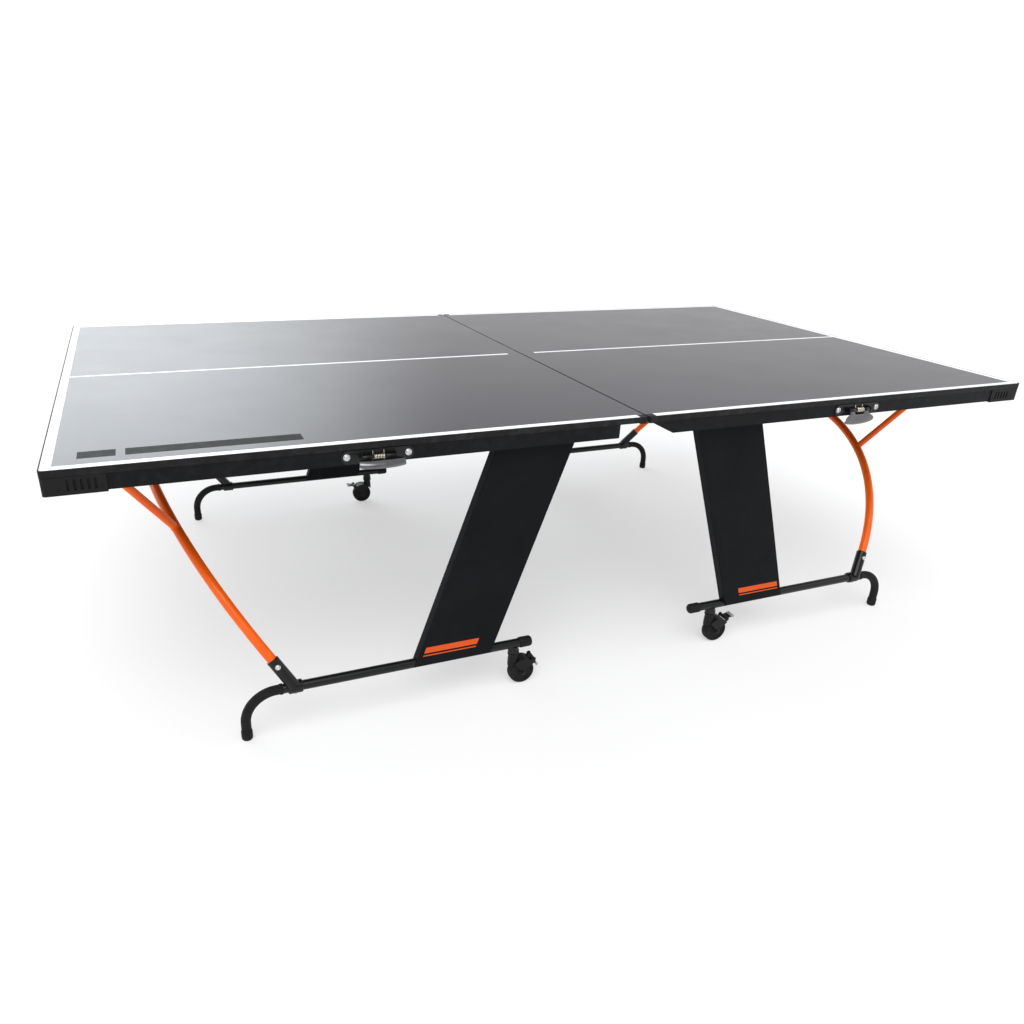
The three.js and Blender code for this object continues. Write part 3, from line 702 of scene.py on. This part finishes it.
def weld_path(count=44):
    """Where the strut's skin meets the arch's, round the strut."""
    u, v, w = axis_frame(STRUT_TO - STRUT_FROM)
    points = []
    for i in range(count):
        t = 2 * math.pi * i / count
        ring = (u * math.cos(t) + v * math.sin(t)) * STRUT_R
        low, high = 0.0, 0.045
        for _ in range(22):
            middle = (low + high) / 2
            if arch_distance(STRUT_FROM + ring + w * middle) > TUBE_R:
                high = middle
            else:
                low = middle
        points.append(STRUT_FROM + ring + w * high)
    return points


WELD = weld_path()


def support_arch(half):
    flip = Matrix.Diagonal((HALVES[half], 1, 1, 1))
    bm = bmesh.new()
    sweep(bm, ARCH, TUBE_R, 36)
    for sign in (-1, 1):
        u = Matrix.Diagonal((1, sign, 1, 1))
        sweep(bm, [u @ STRUT_FROM, u @ (STRUT_FROM.lerp(STRUT_TO, 0.5)), u @ STRUT_TO], STRUT_R, 32)
    finish_mesh(f"arch_tube_{half}", bm, "orange", f"base_{half}", flip,
                angle=50, replaced=[f"support_arch_{half}"])
    for side, sign in SIDES.items():
        bead = bmesh.new()
        radii = [0.0021 + 0.00045 * math.sin(i * 2 * math.pi / 4) for i in range(len(WELD))]
        sweep(bead, WELD, radii, 10, closed=True)
        finish_mesh(f"weld_bead_{half}_{side}", bead, "orange", f"base_{half}",
                    quarter(half, side), angle=80, subdiv=1)


def dome_bolt(name, at, direction, radius, body, half, side, material="zinc"):
    """Button-head bolt with a round recess in its head, on a thin washer."""
    height = radius * 0.62
    profile = [(0.0, -0.001), (radius * 1.18, -0.001), (radius * 1.18, 0.0004),
               (radius * 1.12, 0.0009), (radius, 0.0009), (radius, height * 0.32)]
    for i in range(1, 7):
        t = math.radians(15 * i)
        r = radius * math.cos(t)
        if r > radius * 0.42:
            profile.append((r, height * 0.32 + height * 0.68 * math.sin(t)))
    top = profile[-1][1]
    profile += [(radius * 0.40, top - 0.0002), (radius * 0.37, top - height * 0.55),
                (0.0, top - height * 0.62)]
    bm = bmesh.new()
    lathe(bm, profile, at, direction, 30)
    finish_mesh(name, bm, material, body, quarter(half, side), angle=32)


def arch_socket(half, side):
    where = f"{half}_{side}"
    base = along_socket(-SOCKET_LENGTH)
    top = along_socket(0.0)
    axis = top - base
    sleeve = [
        (0.0, 0.0), (SOCKET_R * 0.98, 0.0), (SOCKET_R, 0.004), (SOCKET_R, 0.080), (0.0158, 0.0815),
        (0.0158, 0.0858), (0.0152, 0.0874), (0.0140, 0.0880), (0.0127, 0.0878), (0.0127, 0.070),
        (0.0, 0.070)]
    x0 = base.x - 0.020
    collar = [(0.0150, 0.0), (0.0163, 0.0012), (0.0168, 0.004), (0.0168, 0.032), (0.0163, 0.0348),
              (0.0150, 0.036), (0.0127, 0.0362), (0.0127, -0.0002)]
    bm = solid_from(
        [lambda b: lathe(b, collar, (x0, FOOT_Y, FOOT_Z), (1, 0, 0), 40, closed=True),
         lambda b: lathe(b, sleeve, base, axis, 40)])
    finish_mesh(f"socket_{where}", bm, "tube", f"base_{half}",
                quarter(half, side), angle=34, replaced=[f"arch_socket_{where}"])
    w = axis.normalized()
    out = (Vector((-0.15, 1.0, 0.0)) - w * Vector((-0.15, 1.0, 0.0)).dot(w)).normalized()
    at = base + w * 0.066 + out * (SOCKET_R - 0.0004)
    dome_bolt(f"socket_bolt_{where}", at, out, 0.0058, f"base_{half}", half, side)
    clamp_at = Vector((x0 + 0.018, FOOT_Y + 0.004, FOOT_Z - 0.0160))
    dome_bolt(f"clamp_screw_{where}", clamp_at, (0, 0.22, -1), 0.0046, f"base_{half}", half, side)


for half, side in QUARTERS:
    foot_tube(half, side)
    tube_cap(half, side)
    curved_foot(half, side)
    arch_socket(half, side)
for half in HALVES:
    support_arch(half)


# ---- casters ---------------------------------------------------------------------------------
def caster_place(half, side):
    """Caster frame: swivel axis at the origin, wheel trailing to +x."""
    key = QUARTER_KEY[half, side]
    turn = 1 if key == "a" else -1
    local = Matrix.Translation((STEM_X[key], FOOT_Y, 0)) @ Matrix.Diagonal((turn, 1, 1, 1))
    return quarter(half, side) @ local


def pedal_hinge():
    t = math.radians(PEDAL_ANGLE)
    return Vector((WHEEL_TRAIL + PEDAL_R * math.cos(t), 0, WHEEL_R + PEDAL_R * math.sin(t)))


def across(b, x, z, r, half_width, sides=32):
    """Solid cylinder across the caster, along y."""
    lathe(b, [(r, -half_width), (r, half_width)], (x, 0, z), (0, 1, 0), sides)


def caster(half, side):
    where = f"{half}_{side}"
    key = QUARTER_KEY[half, side]
    place = caster_place(half, side)
    hinge = pedal_hinge()
    upright = basis((0, 0.0185, 0), (1, 0, 0), (0, 0, 1))
    slice_outline = [(WHEEL_TRAIL, WHEEL_R)] + arc(WHEEL_TRAIL, WHEEL_R, 0.0425, 38, 132, 26)

    def cheeks_gap(b):
        across(b, hinge.x, hinge.z, 0.0064, 0.0155, 28)

    fork = solid_from(
        [lambda b: prism(b, slice_outline, upright, 0.037),
         lambda b: across(b, WHEEL_TRAIL, WHEEL_R, 0.0095, 0.0185, 32),
         lambda b: lathe(b, [(0.0150, 0.058), (0.0152, 0.068), (0.0140, 0.092), (0.0160, 0.0945),
                             (0.0162, 0.0990), (0.0155, 0.1012), (0.0120, 0.1016)],
                         (0, 0, 0), (0, 0, 1), 36)],
        [lambda b: across(b, WHEEL_TRAIL, WHEEL_R, 0.040, 0.0155, 64), cheeks_gap])
    finish_mesh(f"caster_hood_{where}", fork, "hood", f"caster_{where}", place,
                angle=32, bevel=0.0009, replaced=[f"caster_fork_{where}"])
    for name, sign in (("inner", -1), ("outer", 1)):
        lug = bmesh.new()
        lathe(lug, [(0.0, 0.0), (0.0050, 0.0), (0.0065, 0.0003), (0.0065, 0.0026), (0.0058, 0.0032),
                    (0.0026, 0.0034), (0.0024, 0.0040), (0.0, 0.0042)],
              (hinge.x, sign * 0.0155, hinge.z), (0, sign, 0), 28)
        finish_mesh(f"pedal_lug_{name}_{where}", lug, "hood", f"caster_{where}",
                    place, angle=34)
        nut = bmesh.new()
        lathe(nut, [(0.0, 0.0), (0.0068, 0.0), (0.0068, 0.0008), (0.0056, 0.0014), (0.0052, 0.0034),
                    (0.0034, 0.0047), (0.0, 0.0052)],
              (WHEEL_TRAIL, sign * 0.0184, WHEEL_R), (0, sign, 0), 6 if sign < 0 else 28)
        finish_mesh(f"axle_head_{name}_{where}", nut, "hood", f"caster_{where}",
                    place, angle=34)
    wheel_outline = [
        (0.0044, 0.0150), (0.0086, 0.0150), (0.0094, 0.0140), (0.0098, 0.0118), (0.0120, 0.0108),
        (0.0250, 0.0104), (0.0276, 0.0112), (0.0292, 0.0134), (0.0302, 0.0138), (0.0318, 0.0139),
        (0.0324, 0.0133), (0.0330, 0.0138), (0.0346, 0.0130), (0.0362, 0.0102), (0.0370, 0.0062),
        (0.0370, 0.0014), (0.0364, 0.0009)]
    profile = wheel_outline + [(r, -h) for r, h in reversed(wheel_outline)]
    wheel = bmesh.new()
    lathe(wheel, profile, (WHEEL_TRAIL, 0, WHEEL_R), (0, 1, 0), 64, closed=True)
    finish_mesh(f"wheel_{where}", wheel, "tread", f"wheel_{where}", place,
                angle=32, replaced=[f"caster_wheel_{where}"])
    brake(where, key, place, hinge)


def brake(where, key, place, hinge):
    """Black lever on its hinge barrel, with a ribbed grey tip."""
    turn = Matrix.Rotation(math.radians(-PEDAL_REST[key]), 4, "Y")
    local = place @ Matrix.Translation(hinge) @ turn
    flat = basis((0, 0.0122, 0), (1, 0, 0), (0, 0, 1))
    arm = [(0.002, -0.0016), (0.0215, -0.0016), (0.0215, 0.0015), (0.0140, 0.0018), (0.002, 0.0016)]
    lever = solid_from(
        [lambda b: prism(b, arm, flat, 0.0244),
         lambda b: across(b, 0, 0, 0.0050, 0.0149, 32)])
    finish_mesh(f"brake_lever_{where}", lever, "hood", f"pedal_{where}", local,
                angle=34, bevel=0.0005, replaced=[f"brake_pedal_{where}"])
    outline = [(0.0188, -0.0022), (0.0210, -0.0032), (0.0270, -0.0037), (0.0292, -0.0028),
               (0.0298, 0.0000), (0.0290, 0.0026), (0.0268, 0.0035)]
    for i in range(3):
        x = 0.0255 - i * 0.0023
        outline += [(x, 0.0034), (x - 0.0005, 0.0026), (x - 0.0012, 0.0026), (x - 0.0017, 0.0033)]
    outline += [(0.0188, 0.0026)]
    tip = bmesh.new()
    wide = basis((0, 0.0126, 0), (1, 0, 0), (0, 0, 1))
    prism(tip, outline, wide, 0.0252)
    finish_mesh(f"brake_tip_{where}", tip, "pedal", f"pedal_{where}", local,
                angle=34, bevel=0.0005)


for half, side in QUARTERS:
    caster(half, side)


# ---- edge latches --------------------------------------------------------------------------------
def latch_section():
    """Centre line of the lever: (distance out, height, half width)."""
    rows = [(0.0045, 0.0, 0.0325), (0.0090, 0.0, 0.0330), (0.0130, 0.0, 0.0365),
            (0.0180, 0.0, 0.0445), (0.0225, 0.0, 0.0500), (0.0280, 0.0, 0.0519)]
    for x, z in arc(0.0280, -0.0128, 0.0128, 90, 0, 6)[1:]:
        rows.append((x, z, 0.0520))
    rows += [(0.0408, -0.0140, 0.0515)]
    return rows


def latch_handle(half, side):
    where = f"{half}_{side}"
    swing = Matrix.Rotation(math.radians(HANDLE_REST[half]), 4, "X")
    place = quarter(half, side) @ Matrix.Translation((LATCH_X, LATCH_Y, LATCH_Z)) @ swing
    columns = [-1.0, -0.94, -0.8, -0.5, -0.17, 0.17, 0.5, 0.8, 0.94, 1.0]
    bm = bmesh.new()
    grid = []
    for d, z, half_width in latch_section():
        sag = LEVER_SAG * max(0.0, -z / 0.0128)
        grid.append([
            bm.verts.new((c * half_width, d - LEVER_BOW * abs(c) ** 3 * max(0.0, d - 0.016) / 0.025,
                          z + sag * (abs(c) ** 3)))
            for c in columns])
    for i in range(len(grid) - 1):
        for j in range(len(columns) - 1):
            if i < 2 and 3 <= j <= 5:
                continue
            bm.faces.new((grid[i][j], grid[i][j + 1], grid[i + 1][j + 1], grid[i + 1][j]))
    handle = finish_mesh(f"latch_lever_{where}", bm, "chrome", f"handle_{where}",
                         place, angle=60, replaced=[f"latch_handle_{where}"])
    thick = handle.modifiers.new("plate", "SOLIDIFY")
    thick.thickness = LEVER_THICK
    thick.offset = 0.0
    smooth = handle.modifiers.new("smooth_form", "SUBSURF")
    smooth.levels = smooth.render_levels = 2
    for name, x0, x1 in (("a", -0.0365, -0.0160), ("b", 0.0160, 0.0365)):
        hub = bmesh.new()
        length = x1 - x0
        lathe(hub, [(0.0033, 0.0), (0.0045, 0.0), (0.0050, 0.0006), (0.0050, length - 0.0006),
                    (0.0045, length), (0.0033, length)], (x0, 0, 0), (1, 0, 0), 28, closed=True)
        finish_mesh(f"latch_knuckle_{name}_{where}", hub, "tube", f"handle_{where}",
                    place, angle=40)
    for name, offset in (("outer", BOLT_OFFSET), ("inner", -BOLT_OFFSET)):
        dome_bolt(f"latch_bolt_{name}_{where}", (LATCH_X + offset, BRACKET_FACE_Y, BOLT_Z),
                  (0, 1, 0),
                  0.0067, f"top_{half}", half, side)
    latch_spring(half, side, where)


def latch_spring(half, side, where):
    """Torsion spring on the latch pin: coil, and a leg that bears on the plate."""
    wire, coil_r, turns, steps = 0.0011, 0.0056, 7, 20
    length = 0.0250
    points = [Vector((-length / 2 - 0.0003, -0.0064, 0.0125)),
              Vector((-length / 2 - 0.0002, -0.0060, 0.0060))]
    for i in range(turns * steps + 1):
        t = 2 * math.pi * i / steps
        x = -length / 2 + length * i / (turns * steps)
        points.append(Vector((x, -coil_r * math.cos(t), coil_r * math.sin(t))))
    points += [Vector((length / 2 + 0.0002, -0.0060, 0.0060)),
               Vector((length / 2 + 0.0003, -0.0064, 0.0125))]
    bm = bmesh.new()
    sweep(bm, points, wire, 8)
    place = quarter(half, side) @ Matrix.Translation((LATCH_X, LATCH_Y, LATCH_Z))
    finish_mesh(f"latch_spring_{where}", bm, "spring", f"top_{half}", place, angle=80)


for half, side in QUARTERS:
    latch_handle(half, side)


# ---- trim: guard screws and plain stripes ----------------------------------------------------------
def panel_stripe(half, side):
    """Plain orange bars low on the outer face of the leg panel."""
    bm = bmesh.new()
    for x0, x1, z0, z1 in ((0.436, 0.584, 0.160, 0.177), (0.436, 0.584, 0.151, 0.1545)):
        low, high = -(z0 - 0.15) * PANEL_SLANT, -(z1 - 0.15) * PANEL_SLANT
        outline = [(x0 + low, z0), (x1 + low, z0), (x1 + high, z1), (x0 + high, z1)]
        prism(bm, outline, basis((0, PANEL_FACE_Y, 0), (1, 0, 0), (0, 0, 1)), PRINT_THICK)
    finish_mesh(f"panel_stripe_{half}_{side}", bm, "decal", f"base_{half}",
                quarter(half, side))


def guard_screws(half, side):
    for name, x in (("end", BOARD_END - 0.030), ("inner", BOARD_END - 0.108)):
        dome_bolt(f"guard_screw_{name}_{half}_{side}", (x, BOARD_SIDE - 0.0008, 0.7200), (0, 1, 0),
                  0.0030, f"top_{half}", half, side, "plastic")


for half, side in QUARTERS:
    panel_stripe(half, side)
    guard_screws(half, side)


# ---- stage -----------------------------------------------------------------------------------------
FLOOR_GLOW = 0.50
FLOOR_REACH = 40.0
HORIZON = (1.06, 1.06, 1.07)
SKY_LOW = (0.66, 0.665, 0.69)
SKY_HIGH = (0.72, 0.725, 0.74)
# azimuth, elevation, reach and core in degrees, then colour
WINDOW = (-18.0, 18.0, 38.0, 8.0, (3.3, 3.5, 3.6))
CAMERA = {
    "at": (-1.1513, -2.3912, 1.3143), "yaw": 0.4068, "pitch": 0.4298, "roll": 0.0388,
    "focal": 0.779252, "centre": (0.469109, 0.520827),
}


def stage_material(name, color):
    n = Nodes(name)
    cloud = n.noise(0.6, 2.0, 0.5)
    tint = n.ramp(cloud, "Fac", [(0.3, tuple(c * 0.985 for c in color)), (0.7, color)])
    n.tree.links.new(tint.outputs[0], n.bsdf.inputs["Base Color"])
    n.set(rough=0.9, specular=0.05)
    n.bsdf.inputs["Emission Color"].default_value = (1, 1, 1, 1)
    n.bsdf.inputs["Emission Strength"].default_value = FLOOR_GLOW
    return n.mat


def floor():
    mesh = bpy.data.meshes.new("floor")
    corners = [(x * FLOOR_REACH, y * FLOOR_REACH, 0)
               for x, y in ((-1, -1), (1, -1), (1, 1), (-1, 1))]
    mesh.from_pydata(corners, [], [(0, 1, 2, 3)])
    mesh.materials.append(stage_material("pale_floor", (0.44, 0.44, 0.44)))
    obj = bpy.data.objects.new("floor", mesh)
    bpy.context.scene.collection.objects.link(obj)


def area_light(name, at, target, size, power):
    data = bpy.data.lights.new(name, "AREA")
    data.shape = "RECTANGLE"
    data.size, data.size_y = size
    data.energy = power
    obj = bpy.data.objects.new(name, data)
    obj.location = at
    obj.rotation_euler = (Vector(target) - Vector(at)).to_track_quat("-Z", "Y").to_euler()
    bpy.context.scene.collection.objects.link(obj)


def sun_light(name, toward, strength, angle):
    data = bpy.data.lights.new(name, "SUN")
    data.energy = strength
    data.angle = math.radians(angle)
    obj = bpy.data.objects.new(name, data)
    obj.rotation_euler = Vector(toward).to_track_quat("Z", "Y").to_euler()
    bpy.context.scene.collection.objects.link(obj)


def world():
    """Pale at the horizon, darker overhead, with one bright window side."""
    w = bpy.data.worlds.new("studio")
    bpy.context.scene.world = w
    w.use_nodes = True
    tree = w.node_tree
    background = tree.nodes["Background"]
    coords = tree.nodes.new("ShaderNodeTexCoord")
    split = tree.nodes.new("ShaderNodeSeparateXYZ")
    tree.links.new(coords.outputs["Generated"], split.inputs[0])
    sky = tree.nodes.new("ShaderNodeValToRGB")
    sky.color_ramp.elements[0].position = 0.15
    sky.color_ramp.elements[0].color = (*HORIZON, 1)
    sky.color_ramp.elements[1].position = 0.26
    sky.color_ramp.elements[1].color = (*SKY_LOW, 1)
    sky.color_ramp.elements.new(0.65).color = (*SKY_HIGH, 1)
    tree.links.new(split.outputs["Z"], sky.inputs[0])
    azimuth, elevation, reach, core, color = WINDOW
    a, e = math.radians(azimuth), math.radians(elevation)
    dot = tree.nodes.new("ShaderNodeVectorMath")
    dot.operation = "DOT_PRODUCT"
    dot.inputs[1].default_value = (
        math.sin(a) * math.cos(e), math.cos(a) * math.cos(e), math.sin(e))
    tree.links.new(coords.outputs["Generated"], dot.inputs[0])
    glow = tree.nodes.new("ShaderNodeMapRange")
    glow.interpolation_type = "SMOOTHSTEP"
    glow.inputs["From Min"].default_value = math.cos(math.radians(reach))
    glow.inputs["From Max"].default_value = math.cos(math.radians(core))
    tree.links.new(dot.outputs["Value"], glow.inputs["Value"])
    join = tree.nodes.new("ShaderNodeMix")
    join.data_type = "RGBA"
    join.inputs[7].default_value = (*color, 1)
    tree.links.new(glow.outputs[0], join.inputs[0])
    tree.links.new(sky.outputs[0], join.inputs[6])
    low = tree.nodes.new("ShaderNodeMapRange")
    low.inputs["From Min"].default_value = 0.185
    low.inputs["From Max"].default_value = 0.150
    tree.links.new(split.outputs["Z"], low.inputs["Value"])
    final = tree.nodes.new("ShaderNodeMix")
    final.data_type = "RGBA"
    final.inputs[7].default_value = (*HORIZON, 1)
    tree.links.new(low.outputs[0], final.inputs[0])
    tree.links.new(join.outputs[2], final.inputs[6])
    tree.links.new(final.outputs[2], background.inputs["Color"])
    background.inputs["Strength"].default_value = 1.0


def camera():
    yaw, pitch, roll = CAMERA["yaw"], CAMERA["pitch"], CAMERA["roll"]
    forward = Vector((math.sin(yaw) * math.cos(pitch), math.cos(yaw) * math.cos(pitch),
                      -math.sin(pitch)))
    right = Vector((math.cos(yaw), -math.sin(yaw), 0))
    up = right.cross(forward)
    right_r = right * math.cos(roll) + up * math.sin(roll)
    up_r = up * math.cos(roll) - right * math.sin(roll)
    data = bpy.data.cameras.new("camera")
    data.sensor_width = 36.0
    data.lens = CAMERA["focal"] * data.sensor_width
    data.shift_x = 0.5 - CAMERA["centre"][0]
    data.shift_y = CAMERA["centre"][1] - 0.5
    data.clip_end = 200.0
    obj = bpy.data.objects.new("camera", data)
    matrix = Matrix((right_r, up_r, -forward)).transposed().to_4x4()
    matrix.translation = Vector(CAMERA["at"])
    obj.matrix_world = matrix
    bpy.context.scene.collection.objects.link(obj)
    bpy.context.scene.camera = obj


floor()
world()
camera()
area_light("key_softbox", (-1.6, -3.6, 4.6), (0, 0, 0.5), (3.5, 2.5), 60)
area_light("fill_right", (4.2, -2.0, 2.6), (0.3, 0, 0.5), (3.0, 2.4), 22)
sun_light("soft_sun", (-0.35, -0.45, 1.0), 1.3, 50.0)
bpy.context.scene.view_settings.view_transform = "Standard"
